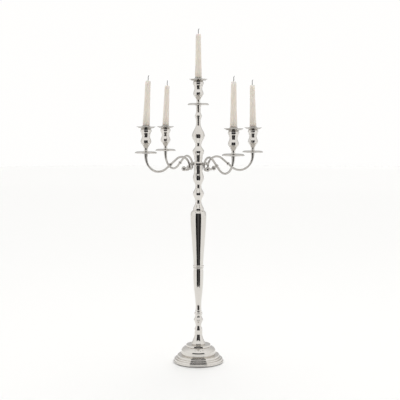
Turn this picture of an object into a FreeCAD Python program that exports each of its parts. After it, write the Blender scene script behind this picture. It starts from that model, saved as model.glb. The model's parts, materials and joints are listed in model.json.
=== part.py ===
"""Five-light candelabra in polished nickel-plated aluminium, one metre tall without its candles.

A stepped foot carries a column of turned castings, clamped together by a threaded rod that is
hidden inside them. A hub part way up the column holds four S-shaped arms. Every arm, and the top
of the column, ends in a saucer, a cup, a loose nozzle with its own drip plate, and a candle.

Frame: millimetres, +Z up, origin on the column's axis where the felt pad meets the table,
+X nearly along the right arm and +Y nearly along the back arm.
"""

import FreeCAD
import Part

import math
import os

from FreeCAD import Placement, Rotation, Vector

AXIS = Vector(0, 0, 1)
LEVEL = Vector(1, 0, 0)
ORIGIN = Vector(0, 0, 0)

# ---- driving dimensions -------------------------------------------------------------------

FELT_R, FELT_H = 84.0, 1.5
FOOT_RIM_R = 89.0
FOOT_TOP_Z = 57.0
BUN_R = 61.4                # widest part of the bun on the foot
FOOT_WALL = 4.0
FOOT_LAND_T = 6.0           # thicker land round the rod
FOOT_RINGS = (              # radius, height of the top, height of the drafted edge
    (86.0, 13.4, 2.5),
    (80.2, 18.6, 1.7),
    (74.6, 26.2, 3.0),
)
RING_DRAFT = math.tan(math.radians(12))
RING_EDGE = 0.8             # round on the upper edge of a ring

# The column's castings from the foot upwards, each with its length along the axis.
COLUMN = {
    "foot_plate": 7.0,
    "bell_stem": 102.0,
    "ring_knop": 24.0,
    "vase_lower": 144.0,
    "vase_collar": 16.0,
    "vase_upper": 191.0,
    "shoulder_bell": 32.0,
    "ball_knop": 56.0,
    "bulb_knop": 72.0,
    "hub": 11.0,
    "collar_knop": 57.0,
    "drop_knop": 83.0,
    "top_stem": 63.0,
}

HUB_R, HUB_DISC_H = 25.5, 8.0
ROD_R = 4.0                 # M8 threaded rod through the column
ROD_HOLE_R = 4.3
ROD_TAIL = 21.0             # how far the rod reaches down into the foot
ROD_END_DEPTH = 32.0        # how far it screws up into the top stem
NUT_FLATS, NUT_H = 13.0, 6.5
WASHER_R, WASHER_H = 12.0, 2.0
COUPLER_L = 24.0            # long nut that joins the two lengths of rod
COUPLER_ROOM_R = 10.0       # cavity round the coupler in the vase

STUD_R, STUD_HOLE_R = 3.0, 3.1      # M6 studs that hold the arms and the cups
ARM_STUD_L = 21.5

# Arms: angle about +Z of each. Every arm stops where its stud tightens, so they are not quite square.
ARM_AZIMUTHS = {"right": -5.5, "back": 92.0, "left": 184.0, "front": 270.0}
ARM_TILT_DEG = {"right": -0.8, "back": 0.2, "left": 0.7, "front": -1.0}     # outer end up
ARM_REACH = 218.0           # column axis to candle axis
ARM_SEAT_Z = 749.0          # underside of an arm's saucer
ARM_TROUGH_R = 52.0         # outer, hanging bend
ARM_TROUGH_Z = 733.2        # height of its centre
ARM_ARCH_R = 34.0           # inner, rising bend
ARM_ARCH_Z = 696.5          # height of its centre
ARM_INNER_X = 38.0          # where the arch comes down beside the hub
ARM_VOLUTE_R = 11.5
ARM_VOLUTE_TURN = 115.0     # degrees that the volute curls
ARM_VOLUTE_BALL_R = 8.5
ARM_ROD_R = 3.7             # half thickness of the slender part
ARM_TOP_R = 7.2             # half thickness just under the saucer
ARM_FLARE_TURN = 58.0       # degrees of the hanging bend over which the arm thickens to its top
ARM_FLARE_RINGS = 7
ARM_FLARE_POWER = 3         # how quickly it thins
ARM_FLANGE_R, ARM_FLANGE_H = 8.6, 6.0
ARM_BEAD_R, ARM_BEAD_L = 6.2, 13.0
ARM_BEAD_SHARE = 0.4        # how far along the straight the bead sits
ARM_BOSS_R = 4.4
ARM_COLLAR_R = 6.0          # ring round the boss, between the hub and the arch

# Socket stack: heights above the seat, which is the underside of the saucer.
SAUCER_R, SAUCER_T = 37.6, 1.8
SAUCER_LEVEL_R, SAUCER_DROOP = 24.0, 5.0
CUP_RIM_H = 77.0
CUP_BORE_R, CUP_BORE_FLOOR = 12.7, 57.0
NOZZLE_PLATE_R = 32.0
NOZZLE_RIM_H = 85.2         # upturned rim of the drip plate
NOZZLE_DIP_R, NOZZLE_DIP_H = 22.5, 80.7
NOZZLE_COLLAR_R, NOZZLE_COLLAR_H = 13.8, 88.5
NOZZLE_PLATE_T = 1.4
TUBE_R, TUBE_BORE_R = 12.4, 11.7
TUBE_FOOT_H, TUBE_FLOOR_T = 57.4, 1.6

CANDLE_FOOT_H = TUBE_FOOT_H + TUBE_FLOOR_T
CANDLE_FOOT_R = 10.6        # self-fitting foot, inside the nozzle
CANDLE_BASE_R, CANDLE_TOP_R = 12.1, 8.95
CANDLE_SHOULDER = 6.0
WICK_R, WICK_HOLE_R = 1.1, 1.15
WICK_STANDS, WICK_CURL_L = 11.0, 8.0
WICK_AZIMUTH = -32.0        # the way the burnt wicks curl

# For every socket: the candle's length, how far its wick curls over, and how many degrees the
# candle leans, with the direction about +Z that it leans towards.
CANDLE_L = {"top": 181.5, "right": 178.0, "back": 175.5, "left": 179.5, "front": 180.0}
WICK_CURL_DEG = {"top": 60.0, "right": 48.0, "back": 8.0, "left": 56.0, "front": 54.0}
LEANS = {
    "top": (0.0, 0.0),
    "right": (1.5, 174.5),
    "back": (2.4, -32.0),
    "left": (3.2, 4.0),
    "front": (0.0, 0.0),
}


# ---- drawing and turning ------------------------------------------------------------------

def at(r, z):
    """The point of a half outline at radius r and height z."""
    return Vector(r, 0, z)


class Outline:
    """Half outline of a turned piece, drawn by moves and then spun about the axis."""

    def __init__(self, r, z):
        self.start = self.here = at(r, z)
        self.edges = []

    def _add(self, curve, end):
        self.edges.append(curve.toShape())
        self.here = end
        return self

    def line(self, r, z):
        return self._add(Part.LineSegment(self.here, at(r, z)), at(r, z))

    def arc(self, via_r, via_z, r, z):
        """A circular stretch through a middle point."""
        return self._add(Part.Arc(self.here, at(via_r, via_z), at(r, z)), at(r, z))

    def bend(self, pole_r, pole_z, r, z):
        """A stretch that leaves towards a pole and arrives from it."""
        curve = Part.BezierCurve()
        curve.setPoles([self.here, at(pole_r, pole_z), at(r, z)])
        return self._add(curve, at(r, z))

    def ogee(self, r, z, leave=0.36, arrive=0.36):
        """A swelling or neck: upright at both ends, each held for that share of the height."""
        rise = z - self.here.z
        curve = Part.BezierCurve()
        curve.setPoles([
            self.here,
            at(self.here.x, self.here.z + leave * rise),
            at(r, z - arrive * rise),
            at(r, z),
        ])
        return self._add(curve, at(r, z))

    def sweep(self, r, z, leave=0.36, arrive=0.36):
        """The same as ogee for a dish: level at both ends."""
        run = r - self.here.x
        curve = Part.BezierCurve()
        curve.setPoles([
            self.here,
            at(self.here.x + leave * run, self.here.z),
            at(r - arrive * run, z),
            at(r, z),
        ])
        return self._add(curve, at(r, z))

    def turned(self):
        if self.here.distanceToPoint(self.start) > 1e-6:
            self.line(self.start.x, self.start.z)
        return Part.Face(Part.Wire(self.edges)).revolve(ORIGIN, AXIS, 360)


def baluster(stations, hole_r=ROD_HOLE_R):
    """A turned casting with a hole along its axis, swelling and narrowing from station to station.

    A station is (radius, height), with the two shares that ogee takes where they matter.
    """
    (first_r, first_z), (last_r, last_z) = stations[0][:2], stations[-1][:2]
    outline = Outline(hole_r, first_z).line(first_r, first_z)
    for station in stations[1:]:
        outline.ogee(*station)
    return outline.line(hole_r, last_z).turned()


def cylinder(radius, bottom, top):
    return Part.makeCylinder(radius, top - bottom, Vector(0, 0, bottom))


def hex_prism(flats, bottom, top, hole_r):
    corner = Vector(0, flats / math.sqrt(3), bottom)
    corners = [Rotation(AXIS, 60 * k).multVec(corner) for k in range(7)]
    prism = Part.Face(Part.makePolygon(corners)).extrude(AXIS * (top - bottom))
    return prism.cut(cylinder(hole_r, bottom, top))


def placed(shape, placement):
    copy = shape.copy()
    copy.Placement = placement.multiply(shape.Placement)
    return copy


def moved(shape, offset=ORIGIN, azimuth=0.0):
    """The shape shifted by offset, and then turned about the column's axis."""
    turn = Rotation(AXIS, azimuth)
    return placed(shape, Placement(turn.multVec(offset), turn))


# ---- foot ---------------------------------------------------------------------------------

def felt_pad():
    return cylinder(FELT_R, 0, FELT_H)


def foot():
    """Round foot: a rolled rim, three drafted rings and a full bun, hollow underneath."""
    inner = BUN_R - FOOT_WALL
    outline = Outline(FOOT_RIM_R - 1.5, FELT_H)
    outline.arc(FOOT_RIM_R, 4.4, FOOT_RIM_R - 1.6, 7.0)
    for ring_r, ring_z, drafted in FOOT_RINGS:
        edge_r, edge_z = ring_r - drafted * RING_DRAFT, ring_z - RING_EDGE
        outline.line(ring_r, outline.here.z).line(ring_r, edge_z - drafted).line(edge_r, edge_z)
        outline.arc(edge_r - 0.29 * RING_EDGE, ring_z - 0.29 * RING_EDGE, edge_r - RING_EDGE, ring_z)
    outline.line(BUN_R - 1.6, 27.0).bend(BUN_R, 29.0, BUN_R, 34.0).line(BUN_R - 0.2, 40.5)
    outline.bend(BUN_R - 0.5, 46.0, BUN_R - 5.8, 50.4).bend(BUN_R - 11.0, 54.6, 43.0, FOOT_TOP_Z)
    outline.line(ROD_HOLE_R, FOOT_TOP_Z).line(ROD_HOLE_R, FOOT_TOP_Z - FOOT_LAND_T)
    outline.line(20.0, FOOT_TOP_Z - FOOT_LAND_T).line(24.0, FOOT_TOP_Z - FOOT_WALL)
    outline.line(42.0, FOOT_TOP_Z - FOOT_WALL).bend(48.6, 50.6, 52.6, 47.2)
    outline.bend(inner, 43.4, inner, 38.0).line(inner, 22.5)
    outline.line(68.5, 21.6).line(82.0, 8.0).line(82.0, FELT_H)
    return outline.turned()


def foot_plate(height):
    """Round plate on the bun, its drafted edge softened, with a low step under the bell."""
    outline = Outline(ROD_HOLE_R, 0).line(42.6, 0).arc(43.7, 0.5, 44.0, 1.6).line(43.3, 5.2)
    outline.arc(42.9, 6.0, 42.0, 6.3).line(24.6, 6.3).line(24.4, height)
    return outline.line(ROD_HOLE_R, height).turned()


# ---- column -------------------------------------------------------------------------------

def bell_stem(height):
    """Bell foot of the stem, a short barrel and a sharp knop."""
    outline = Outline(ROD_HOLE_R, 0).line(23.9, 0)
    outline.arc(24.9, 2.2, 24.4, 5.2)
    outline.bend(15.2, 23.5, 13.6, 36.0)
    outline.ogee(14.0, 51.0, 0.4, 0.4).ogee(9.9, 67.0)
    outline.line(9.9, 69.0)
    outline.ogee(16.9, 88.0, 0.3, 0.12).ogee(11.6, height, 0.12, 0.3)
    return outline.line(ROD_HOLE_R, height).turned()


def ring_knop(height):
    """Bead, step and neck under the vase."""
    return baluster([
        (11.6, 0), (14.1, 8.0, 0.4, 0.5), (11.5, 14.0, 0.5, 0.3), (11.5, 17.5), (10.1, 21.5), (10.1, height),
    ])


def vase_lower(height):
    """Slender lower half of the vase, cast hollow above its neck."""
    top_r = 17.0
    outer = baluster([
        (10.1, 0), (9.9, 6.0), (17.7, 119.0, 0.34, 0.42), (17.8, 135.0), (top_r, height),
    ])
    hollow = Outline(0, 52.0).line(7.0, 52.0).bend(8.2, 78.0, 13.2, 112.0)
    hollow.line(13.2, 128.0).line(COUPLER_ROOM_R, 134.0).line(COUPLER_ROOM_R, height).line(0, height)
    return outer.cut(hollow.turned())


def vase_collar(height):
    """Beaded ring that joins the two halves of the vase."""
    outline = Outline(COUPLER_ROOM_R, 0).line(17.0, 0).line(17.0, 1.4)
    outline.arc(18.5, 3.5, 17.2, 5.6).line(17.0, 6.6).line(17.4, 7.0)
    outline.arc(19.6, 10.0, 17.4, 13.0).line(17.1, 13.6)
    return outline.line(17.1, height).line(COUPLER_ROOM_R, height).turned()


def vase_upper(height):
    """Tapered upper half of the vase with its round shoulder, cast hollow."""
    widest_z = height - 21.0
    outline = Outline(COUPLER_ROOM_R, 0).line(17.1, 0)
    outline.ogee(28.0, widest_z, 0.16, 0.24)
    outline.ogee(27.0, height - 10.6, 0.5, 0.2)
    outline.bend(25.4, height - 2.6, 20.4, height)
    outline.line(ROD_HOLE_R, height).line(ROD_HOLE_R, height - 12.0)
    outline.line(18.0, height - 14.0).bend(24.0, height - 18.0, 24.0, height - 30.0)
    outline.line(14.2, 20.0).line(COUPLER_ROOM_R, 12.0)
    return outline.turned()


def shoulder_bell(height):
    """Small bell that sits on the vase's shoulder."""
    return baluster([(19.2, 0), (19.9, 2.4), (19.6, 5.0), (10.4, height, 0.24, 0.42)])


def ball_knop(height):
    return baluster([(10.4, 0), (19.5, 28.0, 0.36, 0.34), (10.9, 50.5, 0.32, 0.36), (10.7, height)])


def bulb_knop(height):
    """Bulb that narrows upwards into a straight neck below the hub."""
    return baluster([(10.7, 0), (19.4, 26.0, 0.3, 0.4), (15.4, 49.0, 0.45, 0.4), (15.2, height)])


def hub(height):
    """Disc that carries the arms, with a raised ring and a stud hole for every arm."""
    outline = Outline(ROD_HOLE_R, 0).line(HUB_R - 1.2, 0)
    outline.arc(HUB_R - 0.35, 0.35, HUB_R, 1.2).line(HUB_R, HUB_DISC_H - 1.2)
    outline.arc(HUB_R - 0.35, HUB_DISC_H - 0.35, HUB_R - 1.2, HUB_DISC_H)
    outline.line(15.6, HUB_DISC_H).line(14.4, height).line(ROD_HOLE_R, height)
    disc = outline.turned()
    for azimuth in ARM_AZIMUTHS.values():
        hole = Part.makeCylinder(STUD_HOLE_R, HUB_R, Vector(HUB_R - 12.0, 0, HUB_DISC_H / 2), LEVEL)
        disc = disc.cut(moved(hole, azimuth=azimuth))
    return disc


def collar_knop(height):
    """Waisted collar and round knop above the hub."""
    return baluster([
        (13.0, 0), (13.0, 3.0), (15.4, 20.0, 0.3, 0.5), (20.4, 37.0, 0.3, 0.34), (10.1, height, 0.3, 0.36),
    ])


def drop_knop(height):
    """Large drop, full at the bottom and drawn out into a slender neck."""
    return baluster([(10.1, 0), (22.4, 33.5, 0.34, 0.28), (7.9, 77.0, 0.36, 0.4), (7.8, height)])


def top_stem(height):
    """Ball on a slender neck that flares under the top saucer, with a stud hole in its end."""
    end_hole = height - 16.0
    outline = Outline(0, ROD_END_DEPTH + 3.0).line(ROD_HOLE_R, ROD_END_DEPTH + 3.0).line(ROD_HOLE_R, 0)
    outline.line(7.8, 0).ogee(7.8, 3.0).ogee(12.0, 19.5, 0.4, 0.3).ogee(7.7, 36.0, 0.3, 0.4)
    outline.ogee(8.0, 46.0).ogee(9.4, 56.0, 0.4, 0.3).line(9.4, height)
    outline.line(STUD_HOLE_R, height).line(STUD_HOLE_R, end_hole).line(0, end_hole)
    return outline.turned()


# ---- arm ----------------------------------------------------------------------------------

def spoke(degrees):
    """Unit vector in the XZ plane, its angle counted from +X towards +Z."""
    angle = math.radians(degrees)
    return Vector(math.cos(angle), 0, math.sin(angle))


def rod_disc(centre, heading, radius):
    return Part.Face(Part.Wire(Part.makeCircle(radius, centre, heading)))


def rod_bend(centre, bend_r, first, last):
    """Round rod bent about a centre in the XZ plane, from one angle to another."""
    start = centre + spoke(first) * bend_r
    disc = rod_disc(start, spoke(first + 90.0), ARM_ROD_R)
    return disc.revolve(centre, Vector(0, -1, 0), last - first)


def rod_flare(trough):
    """Top of the arm: straight down from the seat and into the hanging bend, thinning to the rod."""
    straight = ARM_SEAT_Z - ARM_FLANGE_H / 2 - ARM_TROUGH_Z
    turned = math.radians(ARM_FLARE_TURN) * ARM_TROUGH_R
    rings = []
    for k in range(ARM_FLARE_RINGS + 1):
        travelled = (straight + turned) * k / ARM_FLARE_RINGS
        radius = ARM_ROD_R + (ARM_TOP_R - ARM_ROD_R) * (1.0 - k / ARM_FLARE_RINGS) ** ARM_FLARE_POWER
        if travelled <= straight:
            centre, heading = trough + Vector(ARM_TROUGH_R, 0, straight - travelled), Vector(0, 0, -1)
        else:
            angle = -math.degrees((travelled - straight) / ARM_TROUGH_R)
            centre, heading = trough + spoke(angle) * ARM_TROUGH_R, spoke(angle - 90.0)
        rings.append(Part.Wire(Part.makeCircle(radius, centre, heading)))
    return Part.makeLoft(rings, True, False)


def arm_blank():
    """One arm in the XZ plane, reaching along +X, before it is fitted to the hub.

    From its flanged top it drops into the hanging bend, rises on a straight that touches both
    bends, goes over the arch and down beside the hub, and curls outwards into a volute with a
    ball on its end. A bead sits on the straight, and a boss with a ring meets the hub.
    """
    trough = Vector(ARM_REACH - ARM_TROUGH_R, 0, ARM_TROUGH_Z)
    arch = Vector(ARM_INNER_X + ARM_ARCH_R, 0, ARM_ARCH_Z)
    volute = Vector(ARM_INNER_X + ARM_VOLUTE_R, 0, ARM_ARCH_Z)
    volute_end = 180.0 + ARM_VOLUTE_TURN
    across = arch - trough
    slant = math.degrees(math.atan2(across.z, across.x))
    leave = slant + math.degrees(math.acos((ARM_TROUGH_R + ARM_ARCH_R) / across.Length))
    straight_start = trough + spoke(leave) * ARM_TROUGH_R
    along = arch - spoke(leave) * ARM_ARCH_R - straight_start
    whole = rod_flare(trough).multiFuse([
        rod_bend(trough, ARM_TROUGH_R, -ARM_FLARE_TURN, leave),
        rod_disc(straight_start, along, ARM_ROD_R).extrude(along),
        rod_bend(arch, ARM_ARCH_R, leave + 180.0, 180.0),
        rod_bend(volute, ARM_VOLUTE_R, 180.0, volute_end),
        arm_flange(),
        placed(arm_bead(), Placement(straight_start + along * ARM_BEAD_SHARE, Rotation(AXIS, along))),
        placed(arm_ball(), Placement(
            volute + spoke(volute_end) * ARM_VOLUTE_R,
            Rotation(AXIS, spoke(volute_end + 90.0)),
        )),
        arm_boss(),
    ])
    hole = cylinder(STUD_HOLE_R, ARM_SEAT_Z - 16.0, ARM_SEAT_Z + 1.0)
    return whole.cut(moved(hole, Vector(ARM_REACH, 0, 0)))


def arm_flange():
    outline = Outline(0, ARM_SEAT_Z - ARM_FLANGE_H).line(ARM_TOP_R - 0.6, ARM_SEAT_Z - ARM_FLANGE_H)
    outline.bend(ARM_TOP_R - 0.2, ARM_SEAT_Z - 2.2, ARM_FLANGE_R, ARM_SEAT_Z - 1.6)
    return moved(outline.line(ARM_FLANGE_R, ARM_SEAT_Z).line(0, ARM_SEAT_Z).turned(), Vector(ARM_REACH, 0, 0))


def arm_bead():
    half, neck_r = ARM_BEAD_L / 2, ARM_ROD_R - 0.3
    outline = Outline(0, -half).line(neck_r, -half)
    return outline.ogee(ARM_BEAD_R, 0, 0.3, 0.3).ogee(neck_r, half, 0.3, 0.3).line(0, half).turned()


def arm_ball():
    """Ball that grows out of the volute's end, with a small flat at its far side."""
    neck_r = ARM_ROD_R - 0.3
    ball_z = math.sqrt(ARM_VOLUTE_BALL_R ** 2 - neck_r ** 2)
    outline = Outline(0, 0).line(neck_r, 0).arc(ARM_VOLUTE_BALL_R, ball_z, neck_r, 2.0 * ball_z)
    outline.bend(neck_r / 2.0, ball_z + ARM_VOLUTE_BALL_R, 1.0, ball_z + ARM_VOLUTE_BALL_R)
    return outline.line(0, outline.here.z).turned()


def arm_boss():
    """Boss that reaches in to the hub, and the ring round it."""
    outline = Outline(0, HUB_R - 2.0).line(ARM_BOSS_R, HUB_R - 2.0).line(ARM_BOSS_R, 28.4)
    outline.arc(ARM_COLLAR_R, 30.2, ARM_BOSS_R, 32.0).line(ARM_BOSS_R, ARM_INNER_X).line(0, ARM_INNER_X)
    return placed(outline.turned(), Placement(Vector(0, 0, ARM_BOSS_Z), Rotation(AXIS, LEVEL)))


def arm_tilt(side):
    """Placement that lifts or lowers an arm's outer end about the place where it meets the hub."""
    return Placement(ORIGIN, Rotation(Vector(0, -1, 0), ARM_TILT_DEG[side]), Vector(HUB_R, 0, ARM_BOSS_Z))


def arm(blank, side):
    """The blank tilted, its boss shaped to the hub and drilled level for the stud, and turned."""
    tilted = placed(blank, arm_tilt(side))
    fitted = tilted.cut(cylinder(HUB_R, 0, 2 * ARM_BOSS_Z))
    hole = Part.makeCylinder(STUD_HOLE_R, ARM_INNER_X - 2.0, Vector(0, 0, ARM_BOSS_Z), LEVEL)
    return moved(fitted.cut(hole), azimuth=ARM_AZIMUTHS[side])


# ---- socket stack, drawn with its seat at height 0 ----------------------------------------

def saucer():
    """Thin spun dish turned upside down: a level crown and a drooping edge."""
    edge_r = SAUCER_R - 1.6
    outline = Outline(STUD_HOLE_R, 0).line(SAUCER_LEVEL_R, 0)
    outline.bend(edge_r - 1.6, -0.4, edge_r, -SAUCER_DROOP)
    outline.arc(SAUCER_R - 0.3, 0.5 - SAUCER_DROOP, SAUCER_R, 1.4 - SAUCER_DROOP)
    outline.bend(edge_r - 0.2, SAUCER_T - 0.2, SAUCER_LEVEL_R + 1.0, SAUCER_T)
    return outline.line(STUD_HOLE_R, SAUCER_T).turned()


def cup():
    """Thistle-shaped cup: small foot, bulb, waist, ring, and a bore that takes the nozzle's tube."""
    outline = Outline(0, 17.0).line(STUD_HOLE_R, 17.0).line(STUD_HOLE_R, SAUCER_T).line(7.8, SAUCER_T)
    outline.line(7.8, 2.8).bend(6.2, 3.8, 6.2, 7.0)
    outline.bend(6.6, 14.0, 9.6, 18.6).bend(12.0, 22.2, 14.3, 26.6)
    outline.bend(17.9, 29.4, 17.9, 33.8).ogee(13.5, 51.0, 0.5, 0.3)
    outline.ogee(15.4, 63.0, 0.4, 0.5).line(16.4, 64.2).arc(18.7, 70.6, 16.9, 76.2)
    outline.line(16.2, CUP_RIM_H).line(CUP_BORE_R, CUP_RIM_H)
    return outline.line(CUP_BORE_R, CUP_BORE_FLOOR).line(0, CUP_BORE_FLOOR).turned()


def nozzle():
    """Loose nozzle: a tube that drops into the cup, and a dished drip plate with a collar."""
    t = NOZZLE_PLATE_T
    outline = Outline(0, TUBE_FOOT_H).line(TUBE_R, TUBE_FOOT_H).line(TUBE_R, CUP_RIM_H).line(16.6, CUP_RIM_H)
    outline.bend(19.0, NOZZLE_DIP_H - t, NOZZLE_DIP_R, NOZZLE_DIP_H - t)
    outline.sweep(NOZZLE_PLATE_R - 0.7, NOZZLE_RIM_H - t, 0.4, 0.2)
    outline.arc(NOZZLE_PLATE_R, NOZZLE_RIM_H - t / 2, NOZZLE_PLATE_R - 0.7, NOZZLE_RIM_H)
    outline.sweep(NOZZLE_DIP_R, NOZZLE_DIP_H, 0.2, 0.4)
    outline.bend(15.6, NOZZLE_DIP_H + 0.3, NOZZLE_COLLAR_R, NOZZLE_COLLAR_H - 1.2)
    outline.arc(NOZZLE_COLLAR_R - 0.9, NOZZLE_COLLAR_H, TUBE_BORE_R + 0.4, NOZZLE_COLLAR_H - 0.4)
    outline.line(TUBE_BORE_R, NOZZLE_COLLAR_H - 1.4).line(TUBE_BORE_R, CANDLE_FOOT_H)
    return outline.line(0, CANDLE_FOOT_H).turned()


def candle(length):
    """Dinner candle: a foot that fits the nozzle, a long taper, a melted shoulder and a wick hole."""
    swell_from, top = NOZZLE_COLLAR_H + 1.4, CANDLE_FOOT_H + length
    outline = Outline(WICK_HOLE_R, CANDLE_FOOT_H).line(CANDLE_FOOT_R - 0.6, CANDLE_FOOT_H)
    outline.line(CANDLE_FOOT_R, CANDLE_FOOT_H + 0.6).line(CANDLE_FOOT_R, swell_from)
    outline.bend(CANDLE_BASE_R, swell_from + 0.2, CANDLE_BASE_R, swell_from + 2.6)
    outline.bend(9.9, swell_from + 66.0, CANDLE_TOP_R, top - CANDLE_SHOULDER)
    outline.bend(CANDLE_TOP_R - 0.4, top - 0.8, 5.6, top)
    outline.bend(3.4, top - 0.2, WICK_HOLE_R, top - 1.6)
    return outline.turned()


def wick(length, curl_deg):
    """Wick through the whole candle, standing clear of the wax and curling at its burnt end."""
    bend_z = CANDLE_FOOT_H + length + WICK_STANDS
    straight = cylinder(WICK_R, CANDLE_FOOT_H + 1.0, bend_z)
    radius = WICK_CURL_L / math.radians(curl_deg)
    disc = Part.Face(Part.Wire(Part.makeCircle(WICK_R, Vector(0, 0, bend_z), AXIS)))
    curl = disc.revolve(Vector(radius, 0, bend_z), Vector(0, 1, 0), curl_deg)
    return moved(straight.fuse(curl).removeSplitter(), azimuth=WICK_AZIMUTH)


def stood(shape, socket, lean_deg, towards):
    """A candle's piece set in a socket, leaning, so that it stands on one edge of its foot."""
    lean = Rotation(AXIS, towards).multVec(spoke(90.0 - lean_deg))
    socket_axis = socket.Rotation.multVec(AXIS)
    raised = CANDLE_FOOT_R * math.sin(socket_axis.getAngle(lean))
    pivot = Vector(0, 0, (CANDLE_FOOT_H + NOZZLE_COLLAR_H) / 2)
    stand = Placement(socket.multVec(pivot) + socket_axis * raised, Rotation(AXIS, lean))
    return placed(shape, stand.multiply(Placement(-pivot, Rotation())))


# ---- the whole ----------------------------------------------------------------------------

CASTINGS = {
    "foot_plate": foot_plate,
    "bell_stem": bell_stem,
    "ring_knop": ring_knop,
    "vase_lower": vase_lower,
    "vase_collar": vase_collar,
    "vase_upper": vase_upper,
    "shoulder_bell": shoulder_bell,
    "ball_knop": ball_knop,
    "bulb_knop": bulb_knop,
    "hub": hub,
    "collar_knop": collar_knop,
    "drop_knop": drop_knop,
    "top_stem": top_stem,
}


def seats():
    """Height of the bottom of every casting, and of the top saucer's seat."""
    found, height = {}, FOOT_TOP_Z
    for name, length in COLUMN.items():
        found[name] = height
        height += length
    found["top_saucer"] = height
    return found


SEATS = seats()
ARM_BOSS_Z = SEATS["hub"] + HUB_DISC_H / 2


def column_parts():
    parts = {"felt_pad": felt_pad(), "foot": foot()}
    for name, length in COLUMN.items():
        parts[name] = moved(CASTINGS[name](length), Vector(0, 0, SEATS[name]))
    return parts


def clamping_parts():
    """Washer and nut under the foot, and two lengths of rod joined by a long nut in the vase."""
    washer_top = FOOT_TOP_Z - FOOT_LAND_T
    nut_top = washer_top - WASHER_H
    joint_z = SEATS["vase_collar"] + COLUMN["vase_collar"] / 2
    rod_foot = FOOT_TOP_Z - ROD_TAIL
    rod_head = SEATS["top_stem"] + ROD_END_DEPTH
    thread_r = ROD_R + 0.05
    return {
        "foot_washer": cylinder(WASHER_R, nut_top, washer_top).cut(cylinder(ROD_HOLE_R, nut_top, washer_top)),
        "foot_nut": hex_prism(NUT_FLATS, nut_top - NUT_H, nut_top, thread_r),
        "rod_coupler": hex_prism(NUT_FLATS, joint_z - COUPLER_L / 2, joint_z + COUPLER_L / 2, thread_r),
        "lower_rod": cylinder(ROD_R, rod_foot, joint_z - 0.5),
        "upper_rod": cylinder(ROD_R, joint_z + 0.5, rod_head),
    }


def stud_parts():
    """Studs from the hub into the arms, and studs that hold every saucer and cup."""
    level = Part.makeCylinder(STUD_R, ARM_STUD_L, Vector(HUB_R - 11.5, 0, ARM_BOSS_Z), LEVEL)
    upright = cylinder(STUD_R, -15.0, 16.0)
    arms = [moved(level, azimuth=azimuth) for azimuth in ARM_AZIMUTHS.values()]
    cups = [placed(upright, socket) for socket in socket_places().values()]
    return {"arm_studs": Part.makeCompound(arms), "cup_studs": Part.makeCompound(cups)}


def socket_places():
    """Where every socket stack stands: the placement of its seat."""
    places = {"top": Placement(Vector(0, 0, SEATS["top_saucer"]), Rotation())}
    seat = Placement(Vector(ARM_REACH, 0, ARM_SEAT_Z), Rotation())
    for side, azimuth in ARM_AZIMUTHS.items():
        turn = Placement(ORIGIN, Rotation(AXIS, azimuth))
        places[side] = turn.multiply(arm_tilt(side)).multiply(seat)
    return places


def socket_parts():
    parts = {}
    made = {"saucer": saucer(), "cup": cup(), "nozzle": nozzle()}
    for side, socket in socket_places().items():
        for name, shape in made.items():
            parts[f"{name}_{side}"] = placed(shape, socket)
        length = CANDLE_L[side]
        parts[f"candle_{side}"] = stood(candle(length), socket, *LEANS[side])
        parts[f"wick_{side}"] = stood(wick(length, WICK_CURL_DEG[side]), socket, *LEANS[side])
    return parts


def arm_parts():
    blank = arm_blank()
    return {f"arm_{side}": arm(blank, side) for side in ARM_AZIMUTHS}


def main():
    os.makedirs("parts", exist_ok=True)
    parts = {**column_parts(), **clamping_parts(), **stud_parts(), **arm_parts(), **socket_parts()}
    for name, shape in parts.items():
        if not shape.isValid():
            raise ValueError(f"{name} is not a valid solid")
        shape.exportStep(f"parts/{name}.step")
        print(f"{name:16s} {len(shape.Solids)} solid(s) {shape.Volume / 1000:9.2f} cm3")


main()
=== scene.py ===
"""Looks of the five-light candelabra: polished nickel castings, ivory tapers, charred wicks, felt pad.

Metres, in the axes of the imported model: +Z up the column, +X nearly along the right arm.
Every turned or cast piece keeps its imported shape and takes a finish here. The candles, the wicks
and the felt are soft or uneven things, so they are made again as meshes and stand for the plain
solids of the same size. Round it all stands a white tent with one dark side, for the metal to mirror.
"""

import json
import math
import random

import bmesh
import bpy
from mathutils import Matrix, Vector, noise


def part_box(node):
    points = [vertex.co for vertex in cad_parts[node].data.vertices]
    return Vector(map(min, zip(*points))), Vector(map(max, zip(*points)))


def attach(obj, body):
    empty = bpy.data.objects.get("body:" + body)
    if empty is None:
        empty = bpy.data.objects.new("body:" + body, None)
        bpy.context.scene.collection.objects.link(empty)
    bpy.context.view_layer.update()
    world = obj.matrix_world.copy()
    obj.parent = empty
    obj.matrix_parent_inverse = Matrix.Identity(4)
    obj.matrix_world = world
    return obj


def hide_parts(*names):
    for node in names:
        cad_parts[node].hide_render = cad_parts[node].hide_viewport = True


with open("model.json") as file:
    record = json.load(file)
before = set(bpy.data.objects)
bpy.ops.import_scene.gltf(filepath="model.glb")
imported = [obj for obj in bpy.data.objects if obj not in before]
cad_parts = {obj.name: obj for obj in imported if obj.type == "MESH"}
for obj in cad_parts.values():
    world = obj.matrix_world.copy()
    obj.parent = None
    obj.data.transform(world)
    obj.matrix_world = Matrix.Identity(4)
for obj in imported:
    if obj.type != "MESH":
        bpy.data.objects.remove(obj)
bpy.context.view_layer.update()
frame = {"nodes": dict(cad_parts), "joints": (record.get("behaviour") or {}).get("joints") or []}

SOCKETS = ("top", "right", "back", "left", "front")


# ---- camera -------------------------------------------------------------------------------

CAMERA_AZIMUTH = -31.8      # degrees round the column from the -Y side
CAMERA_DISTANCE = 3.27      # from the column's axis
CAMERA_HEIGHT = 0.864
CAMERA_TIP = 5.0            # degrees below level
CAMERA_TURN = 0.1           # degrees that the column stands left of the middle
LENS, SENSOR = 84.06, 36.0


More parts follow.
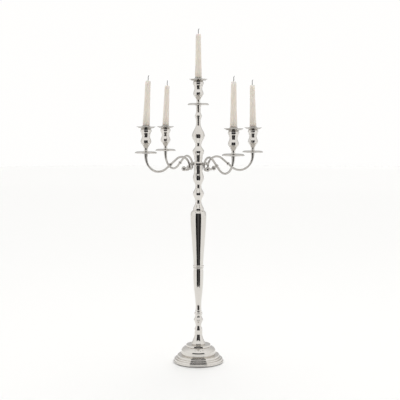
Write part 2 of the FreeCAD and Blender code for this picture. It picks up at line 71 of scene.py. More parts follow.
def round_about(azimuth, radius, height):
    """A point round the column, its azimuth in degrees from the -Y side towards +X."""
    angle = math.radians(azimuth)
    return Vector((math.sin(angle) * radius, -math.cos(angle) * radius, height))


def make_camera():
    data = bpy.data.cameras.new("camera")
    data.lens = LENS
    data.sensor_width = SENSOR
    data.clip_end = 60.0
    camera = bpy.data.objects.new("camera", data)
    bpy.context.scene.collection.objects.link(camera)
    camera.location = round_about(CAMERA_AZIMUTH, CAMERA_DISTANCE, CAMERA_HEIGHT)
    camera.rotation_euler = (
        math.radians(90.0 - CAMERA_TIP),
        0.0,
        math.radians(CAMERA_AZIMUTH - CAMERA_TURN),
    )
    bpy.context.scene.camera = camera


# ---- node trees ---------------------------------------------------------------------------

def add_node(tree, kind, inputs=None, **settings):
    """A node with its settings and its sockets filled: a socket value is linked, anything else is set."""
    node = tree.nodes.new(kind)
    for name, value in settings.items():
        setattr(node, name, value)
    for key, value in (inputs or {}).items():
        if isinstance(value, bpy.types.NodeSocket):
            tree.links.new(value, node.inputs[key])
        else:
            node.inputs[key].default_value = value
    return node


def calculate(tree, operation, first, second=0.0, third=0.0):
    return add_node(tree, "ShaderNodeMath", {0: first, 1: second, 2: third}, operation=operation).outputs[0]


def blend_colours(tree, share, first, second):
    node = add_node(tree, "ShaderNodeMix", {0: share, 6: first, 7: second}, data_type="RGBA")
    return node.outputs[2]


def ramp_value(tree, value, low, high, to_low=0.0, to_high=1.0):
    """The value's stretch from low to high, eased and spread over another stretch."""
    node = add_node(
        tree,
        "ShaderNodeMapRange",
        {"Value": value, "From Min": low, "From Max": high, "To Min": to_low, "To Max": to_high},
        interpolation_type="SMOOTHSTEP",
    )
    return node.outputs["Result"]


def new_group(name, inputs, outputs):
    """An empty shader group: inputs are (name, kind, default), outputs are (name, kind)."""
    tree = bpy.data.node_groups.new(name, "ShaderNodeTree")
    for label, kind, default in inputs:
        socket = tree.interface.new_socket(name=label, in_out="INPUT", socket_type="NodeSocket" + kind)
        socket.default_value = default
    for label, kind in outputs:
        tree.interface.new_socket(name=label, in_out="OUTPUT", socket_type="NodeSocket" + kind)
    return tree, tree.nodes.new("NodeGroupInput").outputs, tree.nodes.new("NodeGroupOutput").inputs


def use_group(tree, group, inputs):
    return add_node(tree, "ShaderNodeGroup", inputs, node_tree=group).outputs


def on_object(tree):
    """The place on the piece, in metres."""
    return add_node(tree, "ShaderNodeTexCoord").outputs["Object"]


def clouds(tree, place, scale, detail, roughness=0.5, distortion=0.0):
    """Cloudy noise, from 0 to 1 and mostly near the middle."""
    look = {"Scale": scale, "Detail": detail, "Roughness": roughness, "Distortion": distortion}
    return add_node(tree, "ShaderNodeTexNoise", {"Vector": place, **look}).outputs["Fac"]


def lathe_rings_group():
    """Fine rings left by the lathe and the buffing wheel, round an upright axis."""
    tree, given, out = new_group(
        "lathe rings",
        [("Centre", "Vector", (0.0, 0.0, 0.0)), ("Rings", "Float", 900.0), ("Waver", "Float", 0.02)],
        [("Height", "Float")],
    )
    place = on_object(tree)
    from_axis = add_node(
        tree,
        "ShaderNodeVectorMath",
        {0: place, 1: given["Centre"]},
        operation="SUBTRACT",
    ).outputs[0]
    split = add_node(tree, "ShaderNodeSeparateXYZ", {0: from_axis}).outputs
    x_squared = calculate(tree, "MULTIPLY", split["X"], split["X"])
    radius = calculate(tree, "SQRT", calculate(tree, "MULTIPLY_ADD", split["Y"], split["Y"], x_squared))
    wavering = calculate(tree, "MULTIPLY", clouds(tree, from_axis, 40.0, 1.0), given["Waver"])
    along = add_node(
        tree,
        "ShaderNodeCombineXYZ",
        {"X": calculate(tree, "ADD", radius, wavering), "Y": split["Z"], "Z": 0.0},
    ).outputs[0]
    rings = add_node(
        tree,
        "ShaderNodeTexNoise",
        {"Vector": along, "Scale": given["Rings"], "Detail": 3.0, "Roughness": 0.6},
        noise_dimensions="2D",
    )
    tree.links.new(rings.outputs["Fac"], out["Height"])
    return tree


def handling_group():
    """Haze from handling: broad soft patches, with small smears and specks inside them."""
    tree, given, out = new_group(
        "handling haze",
        [
            ("Patches", "Float", 22.0),
            ("Smears", "Float", 160.0),
            ("Low", "Float", 0.05),
            ("High", "Float", 0.15),
        ],
        [("Roughness", "Float"), ("Mask", "Float")],
    )
    place = on_object(tree)
    patch = ramp_value(tree, clouds(tree, place, given["Patches"], 4.0, distortion=0.6), 0.42, 0.68)
    smear = ramp_value(tree, clouds(tree, place, given["Smears"], 5.0, 0.7, 1.2), 0.45, 0.72)
    mask = calculate(tree, "MULTIPLY", patch, calculate(tree, "MULTIPLY_ADD", smear, 0.5, 0.5))
    span = calculate(tree, "SUBTRACT", given["High"], given["Low"])
    tree.links.new(calculate(tree, "MULTIPLY_ADD", mask, span, given["Low"]), out["Roughness"])
    tree.links.new(mask, out["Mask"])
    return tree


def hairlines_group():
    """Hairline scratches from wiping, crossing at a few angles."""
    tree, given, out = new_group(
        "wiping hairlines",
        [("Density", "Float", 90.0), ("Share", "Float", 0.12)],
        [("Mask", "Float")],
    )
    place = on_object(tree)
    total = 0.0
    for turn, tilt in ((0.5, 0.2), (-0.9, 1.1), (1.9, -0.5)):
        laid = add_node(
            tree,
            "ShaderNodeMapping",
            {"Vector": place, "Rotation": (tilt, turn, turn * 0.7), "Scale": (1.0, 14.0, 14.0)},
        ).outputs[0]
        streak = clouds(tree, laid, given["Density"], 2.0, 0.4)
        off_middle = calculate(tree, "ABSOLUTE", calculate(tree, "SUBTRACT", streak, 0.5))
        line = calculate(tree, "LESS_THAN", off_middle, calculate(tree, "MULTIPLY", given["Share"], 0.05))
        total = calculate(tree, "MAXIMUM", total, line)
    tree.links.new(total, out["Mask"])
    return tree


def rubbed_edges_group():
    """Where cloths and hands reach first: the outer edges of rims, beads and knops."""
    tree, given, out = new_group(
        "rubbed edges",
        [("Width", "Float", 0.0012), ("Break Up", "Float", 120.0)],
        [("Mask", "Float")],
    )
    rounded = add_node(tree, "ShaderNodeBevel", {"Radius": given["Width"]}, samples=4).outputs[0]
    true_normal = add_node(tree, "ShaderNodeNewGeometry").outputs["Normal"]
    agreement = add_node(tree, "ShaderNodeVectorMath", {0: rounded, 1: true_normal}, operation="DOT_PRODUCT")
    edge = ramp_value(tree, agreement.outputs["Value"], 0.998, 0.93)
    worn = ramp_value(tree, clouds(tree, on_object(tree), given["Break Up"], 3.0), 0.35, 0.6)
    tree.links.new(calculate(tree, "MULTIPLY", edge, worn), out["Mask"])
    return tree


def groove_shade_group():
    """How shut in a spot is, by ambient occlusion: a mask for grooves, necks and joints, which the finishes
    use for painted shade, and the nickel also for roughness.
    """
    tree, given, out = new_group(
        "shade in grooves",
        [("Reach", "Float", 0.006), ("Break Up", "Float", 90.0)],
        [("Mask", "Float")],
    )
    openness = add_node(tree, "ShaderNodeAmbientOcclusion", {"Distance": given["Reach"]}, samples=8)
    shut = ramp_value(tree, openness.outputs["AO"], 0.85, 0.35)
    uneven = ramp_value(tree, clouds(tree, on_object(tree), given["Break Up"], 4.0), 0.3, 0.65)
    tree.links.new(calculate(tree, "MULTIPLY", shut, uneven), out["Mask"])
    return tree


def mottle_group():
    """Slow drift between two colours, with finer cloudiness inside it."""
    tree, given, out = new_group(
        "mottle",
        [
            ("First", "Color", (0.7, 0.6, 0.5, 1.0)),
            ("Second", "Color", (0.6, 0.5, 0.4, 1.0)),
            ("Scale", "Float", 40.0),
            ("Stretch", "Vector", (1.0, 1.0, 0.25)),
        ],
        [("Color", "Color"), ("Height", "Float")],
    )
    stretched = {"Vector": on_object(tree), "Scale": given["Stretch"]}
    laid = add_node(tree, "ShaderNodeMapping", stretched).outputs[0]
    slow = clouds(tree, laid, given["Scale"], 6.0, 0.55, 0.3)
    share = ramp_value(tree, slow, 0.3, 0.7)
    tree.links.new(blend_colours(tree, share, given["First"], given["Second"]), out["Color"])
    tree.links.new(slow, out["Height"])
    return tree


# ---- finishes -----------------------------------------------------------------------------

def new_finish(name):
    material = bpy.data.materials.new(name)
    material.use_nodes = True
    tree = material.node_tree
    surface = tree.nodes["Principled BSDF"]
    return material, tree, surface


def raise_surface(tree, surface, heights):
    """Stack bumps, each (height socket, depth in metres), into the surface's normal."""
    normal = None
    for height, depth in heights:
        inputs = {"Height": height, "Distance": depth, "Strength": 1.0}
        if normal is not None:
            inputs["Normal"] = normal
        normal = add_node(tree, "ShaderNodeBump", inputs).outputs[0]
    tree.links.new(normal, surface.inputs["Normal"])


# One nickel plate on every piece; the saucers, nozzles and arms take darker copies of its colour as painted
# shade, for the dark things they mirror.
NICKEL = (0.72, 0.695, 0.66, 1.0)
NICKEL_SHADED_SAUCER = (0.62, 0.60, 0.57, 1.0)       # saucers: the same plate, darker as painted shade
NICKEL_SHADED_NOZZLE = (0.48, 0.462, 0.436, 1.0)    # nozzles: the same plate, darker as painted shade
NICKEL_SHADED_ARM = (0.50, 0.482, 0.458, 1.0)     # arms: the same plate, darker as painted shade
NICKEL_RUBBED = (0.80, 0.785, 0.76, 1.0)
# A darker, browner plate: painted shade in grooves, and haze from handling.
NICKEL_HAZE_AND_SHADE = (0.36, 0.315, 0.26, 1.0)
GROOVE_SHADE_SHARE, DULL_UNDER_HAZE = 0.35, 0.12       # largest share of the darker colour: painted shade in grooves, and real haze from handling
BRIGHT_ON_EDGES = 0.8                               # largest share of the rubbed colour
GROOVE_ROUGHNESS, SCRATCH_ROUGHNESS = 0.08, 0.05    # what each adds to the plate's own
RING_DEPTH, SCRATCH_DEPTH = 0.0000035, 0.0000015


def polished_nickel(name, plate, centre, groups):
    """Nickel plate of the given colour, turned about an upright axis through the given centre."""
    material, tree, surface = new_finish(name)
    haze = use_group(tree, groups["handling"], {"Low": 0.045, "High": 0.12})
    rings = use_group(tree, groups["rings"], {"Centre": centre, "Rings": 1100.0, "Waver": 0.0008})
    lines = use_group(tree, groups["hairlines"], {"Density": 70.0, "Share": 0.16})
    edges = use_group(tree, groups["edges"], {"Width": 0.0010})
    grooves = use_group(tree, groups["grooves"], {"Reach": 0.0035})
    # Painted shade: the plate darkens and browns where the occlusion mask finds grooves; haze from handling
    # darkens it too.
    painted_groove_shade = calculate(tree, "MULTIPLY", grooves["Mask"], GROOVE_SHADE_SHARE)
    hazed = calculate(tree, "MULTIPLY", haze["Mask"], DULL_UNDER_HAZE)
    colour = blend_colours(tree, calculate(tree, "MAXIMUM", painted_groove_shade, hazed), plate, NICKEL_HAZE_AND_SHADE)
    rubbed = calculate(tree, "MULTIPLY", edges["Mask"], BRIGHT_ON_EDGES)
    colour = blend_colours(tree, rubbed, colour, NICKEL_RUBBED)
    roughness = calculate(tree, "MULTIPLY_ADD", grooves["Mask"], GROOVE_ROUGHNESS, haze["Roughness"])
    roughness = calculate(tree, "MULTIPLY_ADD", lines["Mask"], SCRATCH_ROUGHNESS, roughness)
    tree.links.new(colour, surface.inputs["Base Color"])
    tree.links.new(roughness, surface.inputs["Roughness"])
    surface.inputs["Metallic"].default_value = 1.0
    raise_surface(tree, surface, [(rings["Height"], RING_DEPTH), (lines["Mask"], -SCRATCH_DEPTH)])
    return material


ZINC_BRIGHT, ZINC_GREY = (0.52, 0.53, 0.55, 1.0), (0.38, 0.38, 0.37, 1.0)
# Near-black colour for painted shade in grooves and joints.
THREAD_GROOVE_SHADE = (0.12, 0.11, 0.10, 1.0)
THREAD_WAVES = 127.0        # puts the ridges 2.5 mm apart
THREAD_DEPTH = 0.0004


def zinc_steel(groups):
    """Threaded rod, nuts and studs: dull zinc plate with ridges for a thread."""
    material, tree, surface = new_finish("zinc_steel")
    place = on_object(tree)
    spangle = add_node(tree, "ShaderNodeTexVoronoi", {"Vector": place, "Scale": 260.0}).outputs["Distance"]
    mottle = use_group(tree, groups["mottle"], {"First": ZINC_BRIGHT, "Second": ZINC_GREY, "Scale": 110.0})
    thread = add_node(
        tree,
        "ShaderNodeTexWave",
        {"Vector": place, "Scale": THREAD_WAVES, "Distortion": 0.0},
        bands_direction="Z",
    ).outputs["Fac"]
    grooves = use_group(tree, groups["grooves"], {"Reach": 0.004})
    # Painted shade: the zinc goes near black where the occlusion mask finds grooves and joints.
    colour = blend_colours(tree, grooves["Mask"], mottle["Color"], THREAD_GROOVE_SHADE)
    tree.links.new(colour, surface.inputs["Base Color"])
    tree.links.new(ramp_value(tree, spangle, 0.0, 0.9, 0.28, 0.46), surface.inputs["Roughness"])
    surface.inputs["Metallic"].default_value = 1.0
    raise_surface(tree, surface, [(thread, THREAD_DEPTH), (mottle["Height"], 0.00002)])
    return material


WAX_LIGHT = (0.93, 0.86, 0.77, 1.0)
WAX_DEEP = (0.895, 0.82, 0.73, 1.0)
# Lighter wax colour for a painted highlight on the top.
WAX_TOP_HIGHLIGHT = (0.97, 0.91, 0.84, 1.0)
# Darker wax colour for painted shade in grooves.
WAX_GROOVE_SHADE = (0.42, 0.37, 0.31, 1.0)
WAX_MELTS = (0.93, 0.985)       # shares of the candle's height between which it turns glossy and takes a painted highlight


def candle_wax(groups):
    """Ivory wax: cloudy, faintly streaked downwards, glossier where it melted, and with a painted highlight
    that lightens the top.
    """
    material, tree, surface = new_finish("candle_wax")
    mottle = use_group(
        tree,
        groups["mottle"],
        {"First": WAX_LIGHT, "Second": WAX_DEEP, "Scale": 55.0, "Stretch": (1.0, 1.0, 0.16)},
    )
    within = add_node(tree, "ShaderNodeTexCoord").outputs["Generated"]
    split = add_node(tree, "ShaderNodeSeparateXYZ", {0: within}).outputs
    melted = ramp_value(tree, split["Z"], *WAX_MELTS)
    haze = use_group(tree, groups["handling"], {"Patches": 34.0, "Smears": 260.0, "Low": 0.36, "High": 0.52})
    grooves = use_group(tree, groups["grooves"], {"Reach": 0.004})
    # Painted highlight: the melted top is blended towards a lighter wax colour.
    colour = blend_colours(tree, melted, mottle["Color"], WAX_TOP_HIGHLIGHT)
    # Painted shade: the wax darkens a little where the occlusion mask finds grooves, as round the wick and
    # down in the nozzle.
    wax_shade_share = calculate(tree, "MULTIPLY", grooves["Mask"], 0.12)
    colour = blend_colours(tree, wax_shade_share, colour, WAX_GROOVE_SHADE)
    roughness = calculate(tree, "MULTIPLY_ADD", melted, -0.16, haze["Roughness"])
    tree.links.new(colour, surface.inputs["Base Color"])
    tree.links.new(roughness, surface.inputs["Roughness"])
    surface.inputs["Subsurface Weight"].default_value = 0.12
    surface.inputs["Subsurface Radius"].default_value = (1.0, 0.55, 0.30)
    surface.inputs["Subsurface Scale"].default_value = 0.004
    surface.inputs["IOR"].default_value = 1.44
    raise_surface(tree, surface, [(mottle["Height"], 0.00012), (haze["Mask"], -0.00002)])
    return material


COTTON, COTTON_SCORCHED = (0.62, 0.52, 0.40, 1.0), (0.10, 0.06, 0.035, 1.0)
COTTON_BURNT, COTTON_ASH = (0.010, 0.008, 0.007, 1.0), (0.10, 0.09, 0.08, 1.0)
COTTON_SCORCHES, COTTON_BURNS = (0.912, 0.921), (0.917, 0.930)     # shares of the whole wick's height


def charred_cotton():
    """Plaited cotton: cream where it leaves the wax, burnt brown and then black towards its tip."""
    material, tree, surface = new_finish("charred_cotton")
    within = add_node(tree, "ShaderNodeTexCoord").outputs["Generated"]
    height = add_node(tree, "ShaderNodeSeparateXYZ", {0: within}).outputs["Z"]
    fibre = clouds(tree, on_object(tree), 1400.0, 4.0)
    ash = ramp_value(tree, fibre, 0.55, 0.75)
    ragged = calculate(tree, "MULTIPLY_ADD", fibre, 0.02, height)
    waxed = blend_colours(tree, ramp_value(tree, ragged, *COTTON_SCORCHES), COTTON, COTTON_SCORCHED)
    burnt = blend_colours(tree, calculate(tree, "MULTIPLY", ash, 0.25), COTTON_BURNT, COTTON_ASH)
    colour = blend_colours(tree, ramp_value(tree, ragged, *COTTON_BURNS), waxed, burnt)
    tree.links.new(colour, surface.inputs["Base Color"])
    tree.links.new(ramp_value(tree, fibre, 0.3, 0.7, 0.75, 0.98), surface.inputs["Roughness"])
    raise_surface(tree, surface, [(fibre, 0.00018)])
    return material


FELT_DARK, FELT_GREY = (0.055, 0.065, 0.06, 1.0), (0.11, 0.12, 0.105, 1.0)
FELT_FLECK = (0.35, 0.36, 0.33, 1.0)


def wool_felt(groups):
    """Pressed grey-green wool: matted fibres, flecks and a soft sheen."""
    material, tree, surface = new_finish("wool_felt")
    mottle = use_group(
        tree,
        groups["mottle"],
        {"First": FELT_DARK, "Second": FELT_GREY, "Scale": 420.0, "Stretch": (1.0, 1.0, 1.0)},
    )
    fibre = clouds(tree, on_object(tree), 1500.0, 5.0, distortion=2.5)
    fleck = ramp_value(tree, fibre, 0.66, 0.74)
    colour = blend_colours(tree, calculate(tree, "MULTIPLY", fleck, 0.5), mottle["Color"], FELT_FLECK)
    tree.links.new(colour, surface.inputs["Base Color"])
    tree.links.new(ramp_value(tree, fibre, 0.3, 0.7, 0.86, 1.0), surface.inputs["Roughness"])
    surface.inputs["Sheen Weight"].default_value = 0.4
    surface.inputs["Sheen Roughness"].default_value = 0.6
    raise_surface(tree, surface, [(fibre, 0.0003), (mottle["Height"], 0.0002)])
    return material


# ---- meshes -------------------------------------------------------------------------------

def finish_mesh(name, build, material, smooth=True):
    """An object from a bmesh, with its one finish."""
    build.normal_update()
    mesh = bpy.data.meshes.new(name)
    build.to_mesh(mesh)
    build.free()
    for face in mesh.polygons:
        face.use_smooth = smooth
    mesh.materials.append(material)
    piece = bpy.data.objects.new(name, mesh)
    bpy.context.scene.collection.objects.link(piece)
    return piece


def join_rings(build, rings):
    """Faces between rings of vertices, each with the same count, capped at both ends."""
    count = len(rings[0])
    for low, high in zip(rings, rings[1:]):
        for k in range(count):
            build.faces.new((low[k], low[(k + 1) % count], high[(k + 1) % count], high[k]))
    build.faces.new(list(reversed(rings[0])))
    build.faces.new(rings[-1])


def across(direction):
    """Two unit vectors square to a direction and to each other."""
    helper = Vector((0, 1, 0)) if abs(direction.y) < 0.9 else Vector((1, 0, 0))
    side = direction.cross(helper).normalized()
    return side, direction.cross(side).normalized()


# ---- candles ------------------------------------------------------------------------------

def joint_axis(name):
    return Vector(next(j["axis"] for j in frame["joints"] if j["name"] == name)).normalized()


def middle(corners):
    low, high = corners
    return (low + high) / 2


FOOT_RADIUS = 0.0106        # self-fitting foot, hidden in the nozzle
FOOT_BEVEL = 0.0006
BASE_RADIUS, TOP_RADIUS = 0.0121, 0.00895
SWELL_FROM = 0.0309         # where the candle comes out of its nozzle and swells
SWELL_HEIGHT = 0.0026
BODY_BEND = (0.066, 0.0099)     # height above the foot and radius that the long taper is drawn towards
SHOULDER = 0.006            # height of the melted shoulder
CROWN_RADIUS, WICK_HOLE_RADIUS = 0.0056, 0.00115
WICK_PIT = 0.0016
SIDE_WAVE, SIDE_INSET = 0.00012, 0.0001     # the wax is uneven by the first, and cut back by the second
SLUMP, SLUMP_INSET = 0.0009, 0.0006         # the same for the height of its crown
WICK_STANDS = 0.011         # straight stretch of wick above the wax
WICK_CURL = 0.008           # length of the curled stretch
WICK_CURL_DEG = {"top": 60.0, "right": 48.0, "back": 8.0, "left": 56.0, "front": 54.0}
WICK_TOWARDS = Vector((math.cos(math.radians(-32.0)), math.sin(math.radians(-32.0)), 0.0))
CANDLE_SIDES = 56


class Taper:
    """Where one candle stands: its foot, the way it leans and its length, as it was packed."""

    def __init__(self, side):
        self.side = side
        self.axis = joint_axis(f"candle_{side}_lift")
        self.right, self.back = across(self.axis)
        vertices = [v.co for v in frame["nodes"][f"candle_{side}"].data.vertices]
        spans = []
        for direction in (self.right, self.back, self.axis):
            reached = [direction.dot(v) for v in vertices]
            spans.append((min(reached), max(reached)))
        (right_low, right_high), (back_low, back_high), (bottom, top) = spans
        self.foot = self.right * (right_low + right_high) / 2 + self.back * (back_low + back_high) / 2
        self.foot += self.axis * bottom
        self.length = top - bottom

    def at(self, height, radius=0.0, angle=0.0):
        ring = self.right * math.cos(angle) + self.back * math.sin(angle)
        return self.foot + self.axis * height + ring * radius


def curved(start, pole, end, steps):
    """Points of a stretch that leaves start towards a pole and reaches end from it."""
    points = []
    for k in range(1, steps + 1):
        share = k / steps
        weights = ((1 - share) ** 2, 2 * share * (1 - share), share ** 2)
        points.append(tuple(sum(w * p[i] for w, p in zip(weights, (start, pole, end))) for i in (0, 1)))
    return points


def candle_outline(length):
    """Half outline of a burnt taper as (height, radius): foot, swell, long taper, crown, wick pit."""
    swell = (SWELL_FROM, FOOT_RADIUS)
    base = (SWELL_FROM + SWELL_HEIGHT, BASE_RADIUS)
    bend = (SWELL_FROM + BODY_BEND[0], BODY_BEND[1])
    shoulder = (length - SHOULDER, TOP_RADIUS)
    crown = (length, CROWN_RADIUS)
    pit = (length - WICK_PIT, WICK_HOLE_RADIUS)
    outline = [(0.0, FOOT_RADIUS - FOOT_BEVEL), (FOOT_BEVEL, FOOT_RADIUS)]
    outline += [(SWELL_FROM * k / 8, FOOT_RADIUS) for k in range(1, 9)]
    outline += curved(swell, (SWELL_FROM + 0.0002, BASE_RADIUS), base, 5)
    outline += curved(base, bend, shoulder, 40)
    outline += curved(shoulder, (length - 0.0008, TOP_RADIUS - 0.0004), crown, 9)
    outline += curved(crown, (length - 0.0002, 0.0034), pit, 6)
    return outline


def wax_candle(taper, wax):
    """A taper that has burned a little: sides not quite true, and a melted crown round the wick."""
    seed = 7.0 * SOCKETS.index(taper.side)
    build = bmesh.new()
    rings = []
    for height, radius in candle_outline(taper.length):
        ring = []
        inset = SIDE_INSET if height > 0.001 else 0.0
        crowned = max(0.0, (height - (taper.length - SHOULDER)) / SHOULDER)
        for k in range(CANDLE_SIDES):
            angle = 2 * math.pi * k / CANDLE_SIDES
            probe = Vector((math.cos(angle) * 1.3, math.sin(angle) * 1.3, height * 28.0 + seed))
            uneven = noise.noise(probe) * SIDE_WAVE - inset
            around = Vector((math.cos(angle), math.sin(angle), seed))
            slumped = noise.noise(around) * SLUMP - SLUMP_INSET
            ring.append(build.verts.new(taper.at(height + slumped * crowned, radius + uneven, angle)))
        rings.append(ring)
    join_rings(build, rings)
    piece = finish_mesh(f"wax_candle_{taper.side}", build, wax)
    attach(piece, f"candle_{taper.side}")
    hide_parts(f"candle_{taper.side}")


# ---- wicks --------------------------------------------------------------------------------

STRAND_RADIUS, CORE_RADIUS = 0.00060, 0.0009
STRAND_SIDES, WICK_STEPS = 8, 96
PLAIT_PITCH = 0.0036
PLAIT_WIDE, PLAIT_DEEP = 0.00066, 0.00050
WICK_BELOW = 0.002          # length of the plait that runs down inside the wax
FRAYED = 0.0012             # the strands end unevenly, and draw to a point, over this length
BURNT_THINNER, BURNT_RAGGED = 0.22, 0.25


def wick_line(taper):
    """The wick's centre line above the wax: a function from distance to (point, direction)."""
    bend = taper.at(taper.length + WICK_STANDS)
    side = (WICK_TOWARDS - taper.axis * WICK_TOWARDS.dot(taper.axis)).normalized()
    radius = WICK_CURL / math.radians(WICK_CURL_DEG[taper.side])

    def line(distance):
        angle = max(0.0, distance - WICK_STANDS) / radius
        if angle == 0.0:
            return taper.at(taper.length + distance), taper.axis
        point = bend + taper.axis * (radius * math.sin(angle)) + side * (radius * (1 - math.cos(angle)))
        return point, taper.axis * math.cos(angle) + side * math.sin(angle)

    return line


def braided_wick(taper, cotton):
    """A three-strand plait with frayed, charred strands, and its plain length inside the wax."""
    chance = random.Random(31 + SOCKETS.index(taper.side))
    line = wick_line(taper)
    build = bmesh.new()
    start, end = -WICK_PIT - WICK_BELOW, WICK_STANDS + WICK_CURL - 0.0003
    for strand in range(3):
        offset = 2 * math.pi * strand / 3
        stop = end - chance.uniform(0.0, FRAYED)
        rings = []
        for k in range(WICK_STEPS + 1):
            distance = start + (stop - start) * k / WICK_STEPS
            centre, heading = line(distance)
            wide, deep = across(heading)
            phase = 2 * math.pi * distance / PLAIT_PITCH + offset
            burnt = max(0.0, distance / end)
            centre = centre + wide * PLAIT_WIDE * math.sin(phase) + deep * PLAIT_DEEP * math.sin(2 * phase)
            rough = noise.noise(Vector((strand * 9.0, taper.foot.x * 50.0, distance * 1800.0)))
            thick = STRAND_RADIUS * (1.0 - BURNT_THINNER * burnt) * (1.0 + BURNT_RAGGED * burnt * rough)
            tail = (stop - distance) / FRAYED
            if tail < 1.0:
                thick *= 0.35 + 0.65 * math.sqrt(max(0.0, tail))
            ring = []
            for j in range(STRAND_SIDES):
                angle = 2 * math.pi * j / STRAND_SIDES
                outwards = wide * math.cos(angle) + deep * math.sin(angle)
                ring.append(build.verts.new(centre + outwards * thick))
            rings.append(ring)
        join_rings(build, rings)
    core = []
    for height in (0.002, taper.length * 0.5, taper.length + start + 0.0005):
        core.append([
            build.verts.new(taper.at(height, CORE_RADIUS, 2 * math.pi * j / STRAND_SIDES))
            for j in range(STRAND_SIDES)
        ])
    join_rings(build, core)
    piece = finish_mesh(f"braided_wick_{taper.side}", build, cotton)
    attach(piece, f"candle_{taper.side}")
    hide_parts(f"wick_{taper.side}")


# ---- felt ---------------------------------------------------------------------------------

FELT_SIDES = 180
FELT_FLAT_RADII = (0.003, 0.02, 0.045, 0.065)
FELT_EDGE = 0.45            # how far the rounded edge reaches in, as a share of the thickness
FELT_CUT, FELT_MATTED = 0.0003, 0.00012     # unevenness of the cut edge and of the faces


def pressed_felt(felt):
    """The pad under the foot: soft rounded edge, matted faces, a slightly wavy cut."""
    low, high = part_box("felt_pad")
    radius, thick = (high.x - low.x) / 2, high.z - low.z
    build = bmesh.new()
    edge = FELT_EDGE * thick
    flat = [(r, 0.0) for r in FELT_FLAT_RADII + (radius - 2.5 * edge,)]
    outline = list(flat)
    for k in range(7):
        turn = math.pi * k / 6
        outline.append((radius - edge + edge * math.sin(turn) * 0.8, thick / 2 - math.cos(turn) * thick / 2))
    outline += [(r, thick) for r, _ in reversed(flat)]
    rings = []
    for r, z in outline:
        ring = []
        for k in range(FELT_SIDES):
            angle = 2 * math.pi * k / FELT_SIDES
            probe = Vector((math.cos(angle) * r, math.sin(angle) * r, z)) * 260.0
            around = Vector((math.cos(angle) * 4, math.sin(angle) * 4, 1.0))
            cut = noise.noise(around) * FELT_CUT - FELT_CUT
            matted = abs(noise.noise(probe)) * FELT_MATTED
            height = matted if z < thick / 2 else thick - matted
            height = z if 0.0 < z < thick else height
            trimmed = r + (cut if r > radius * 0.9 else 0.0)
            ring.append(build.verts.new((math.cos(angle) * trimmed, math.sin(angle) * trimmed, height)))
        rings.append(ring)
    join_rings(build, rings)
    piece = finish_mesh("pressed_felt", build, felt)
    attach(piece, "root")
    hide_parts("felt_pad")


# ---- studio -------------------------------------------------------------------------------

TENT_SIDES, TENT_BACK = 1.0, 0.58       # brightness of the tent as polished metal mirrors it
TENT_AROUND, TENT_GLOW = 0.60, 2.40     # its even part on matt things, and its brightest part
TENT_GLOW_POWER = 6.0
TENT_LIT_FROM = math.radians(52.0)      # height of the brightest part above the floor
TENT_WHITE = (1.0, 0.995, 0.985, 1.0)
DARK_FROM, DARK_TO = 0.78, 7.0          # the dark side: from here on the floor to its wall
DARK_TOP = 4.3                          # height of that wall
DARK_EDGE = 27.0                        # degrees from the camera to the middle of a black run
DARK_HALF_WIDTH, DIM_HALF_WIDTH = 14.0, 13.0
DARK_STEPS = 12
REFLECTOR_LIFT = 0.0005
FLOOR_RADIUS, FLOOR_SIDES = 14.0, 96


def plain_finish(name, colour, roughness):
    material, _, surface = new_finish(name)
    surface.inputs["Base Color"].default_value = colour
    surface.inputs["Roughness"].default_value = roughness
    surface.inputs["Specular IOR Level"].default_value = 0.2
    return material


def glow_finish(name, colour, strength):
    material = bpy.data.materials.new(name)
    material.use_nodes = True
    tree = material.node_tree
    tree.nodes.clear()
    glow = add_node(tree, "ShaderNodeEmission", {"Color": colour, "Strength": strength})
    out = tree.nodes.new("ShaderNodeOutputMaterial")
    tree.links.new(glow.outputs[0], out.inputs["Surface"])
    return material


def floor():
    build = bmesh.new()
    bmesh.ops.create_circle(
        build,
        cap_ends=True,
        cap_tris=True,
        segments=FLOOR_SIDES,
        radius=FLOOR_RADIUS,
    )
    piece = finish_mesh("floor", build, plain_finish("pale_floor", (0.93, 0.93, 0.925, 1.0), 0.6))


def reflector(name, azimuth, half_width, material):
    """A dark run of floor that turns up into a far wall, which only shows in polished metal."""
    build = bmesh.new()
    turns = [azimuth - half_width + 2 * half_width * k / DARK_STEPS for k in range(DARK_STEPS + 1)]
    run = ((DARK_FROM, REFLECTOR_LIFT), (DARK_TO, REFLECTOR_LIFT), (DARK_TO, DARK_TOP))
    rings = [[build.verts.new(round_about(turn, *reach)) for turn in turns] for reach in run]
    for low, high in zip(rings, rings[1:]):
        for k in range(DARK_STEPS):
            build.faces.new((low[k], low[k + 1], high[k + 1], high[k]))
    piece = finish_mesh(name, build, material, smooth=False)
    piece.visible_camera = False
    piece.visible_diffuse = False
    piece.visible_transmission = False
    piece.visible_volume_scatter = False
    piece.visible_shadow = False


def overhead_light():
    """A weak square light above the back, which the metal doesn't mirror."""
    data = bpy.data.lights.new("overhead", "AREA")
    data.shape = "SQUARE"
    data.size = 1.6
    data.energy = 3.0
    data.color = (1.0, 0.985, 0.96)
    light = bpy.data.objects.new("overhead", data)
    bpy.context.scene.collection.objects.link(light)
    light.location = round_about(CAMERA_AZIMUTH + 160.0, 0.5, 2.6)
    aim = Vector((0, 0, 0.3)) - light.location
    light.rotation_euler = aim.to_track_quat("-Z", "Y").to_euler()
    light.visible_glossy = False


def towards(tree, looking, direction):
    """How nearly a ray looks in a direction: 1 along it, 0 at right angles and beyond."""
    facing = add_node(tree, "ShaderNodeVectorMath", {0: looking, 1: direction}, operation="DOT_PRODUCT")
    return calculate(tree, "MAXIMUM", facing.outputs["Value"], 0.0)


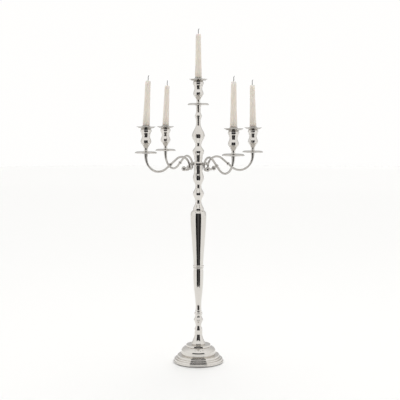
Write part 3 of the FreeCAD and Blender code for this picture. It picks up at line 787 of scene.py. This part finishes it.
def white_tent():
    """White behind everything.

    Polished metal mirrors it brightest at the sides. Matt things are lit from all round, and most
    from high up at the back.
    """
    world = bpy.data.worlds.new("white_tent")
    bpy.context.scene.world = world
    world.use_nodes = True
    tree = world.node_tree
    tree.nodes.clear()
    path = add_node(tree, "ShaderNodeLightPath").outputs
    looking = add_node(tree, "ShaderNodeTexCoord").outputs["Generated"]
    brightest = round_about(CAMERA_AZIMUTH + 172.0, math.cos(TENT_LIT_FROM), math.sin(TENT_LIT_FROM))
    glow = calculate(tree, "POWER", towards(tree, looking, brightest), TENT_GLOW_POWER)
    on_matt = calculate(tree, "MULTIPLY_ADD", glow, TENT_GLOW, TENT_AROUND)
    behind = round_about(CAMERA_AZIMUTH + 180.0, 1.0, 0.0)
    backdrop = calculate(tree, "POWER", towards(tree, looking, behind), 1.5)
    in_metal = calculate(tree, "MULTIPLY_ADD", backdrop, TENT_BACK - TENT_SIDES, TENT_SIDES)
    shiny = path["Is Glossy Ray"]
    mirrored = calculate(tree, "MULTIPLY", shiny, in_metal)
    matt = calculate(tree, "MULTIPLY", calculate(tree, "SUBTRACT", 1.0, shiny), on_matt)
    lit = calculate(tree, "ADD", mirrored, matt)
    seen = path["Is Camera Ray"]
    unseen = calculate(tree, "MULTIPLY", calculate(tree, "SUBTRACT", 1.0, seen), lit)
    strength = calculate(tree, "ADD", seen, unseen)
    white = add_node(tree, "ShaderNodeBackground", {"Color": TENT_WHITE, "Strength": strength})
    out = tree.nodes.new("ShaderNodeOutputWorld")
    tree.links.new(white.outputs[0], out.inputs["Surface"])


def studio():
    white_tent()
    black = glow_finish("black_card", (0.012, 0.011, 0.012, 1.0), 1.0)
    dim = glow_finish("dim_card", (0.085, 0.083, 0.084, 1.0), 1.0)
    floor()
    reflector("black_run_left", CAMERA_AZIMUTH - DARK_EDGE, DARK_HALF_WIDTH, black)
    reflector("black_run_right", CAMERA_AZIMUTH + DARK_EDGE, DARK_HALF_WIDTH, black)
    reflector("dim_run_middle", CAMERA_AZIMUTH, DIM_HALF_WIDTH, dim)
    overhead_light()


# ---- the whole ----------------------------------------------------------------------------

STEEL_NODES = ("foot_washer", "foot_nut", "rod_coupler", "lower_rod", "upper_rod", "arm_studs", "cup_studs")
REMADE = ("candle_", "wick_", "felt_")      # how the names of the nodes that are made again begin


def socket_centre(side):
    """A point on the axis that a socket's cup, saucer and nozzle are turned about."""
    centre = middle(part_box(f"cup_{side}"))
    return (centre.x, centre.y, 0.0)


def dress_castings(groups):
    """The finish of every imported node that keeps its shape."""
    column = polished_nickel("nickel_column", NICKEL, (0.0, 0.0, 0.0), groups)
    # The arms take a darker copy of the nickel plate, as painted shade.
    arms = polished_nickel("nickel_arms", NICKEL_SHADED_ARM, (0.0, 0.0, 0.0), groups)
    finish_of = {f"arm_{side}": arms for side in SOCKETS}
    for side in SOCKETS:
        centre = socket_centre(side)
        # Saucers and nozzles take darker copies of the nickel plate, as painted shade; the cups keep the
        # plain plate.
        for kind, plate in (("cup", NICKEL), ("saucer", NICKEL_SHADED_SAUCER), ("nozzle", NICKEL_SHADED_NOZZLE)):
            node = f"{kind}_{side}"
            finish_of[node] = polished_nickel(f"nickel_{node}", plate, centre, groups)
    steel = zinc_steel(groups)
    finish_of.update((node, steel) for node in STEEL_NODES)
    for name, node in frame["nodes"].items():
        if name.startswith(REMADE):
            continue
        node.data.materials.clear()
        node.data.materials.append(finish_of.get(name, column))


def main():
    make_camera()
    studio()
    groups = {
        "rings": lathe_rings_group(),
        "handling": handling_group(),
        "hairlines": hairlines_group(),
        "edges": rubbed_edges_group(),
        "grooves": groove_shade_group(),
        "mottle": mottle_group(),
    }
    dress_castings(groups)
    wax, cotton = candle_wax(groups), charred_cotton()
    for side in SOCKETS:
        taper = Taper(side)
        wax_candle(taper, wax)
        braided_wick(taper, cotton)
    pressed_felt(wool_felt(groups))
    bpy.context.scene.view_settings.view_transform = "Standard"


main()
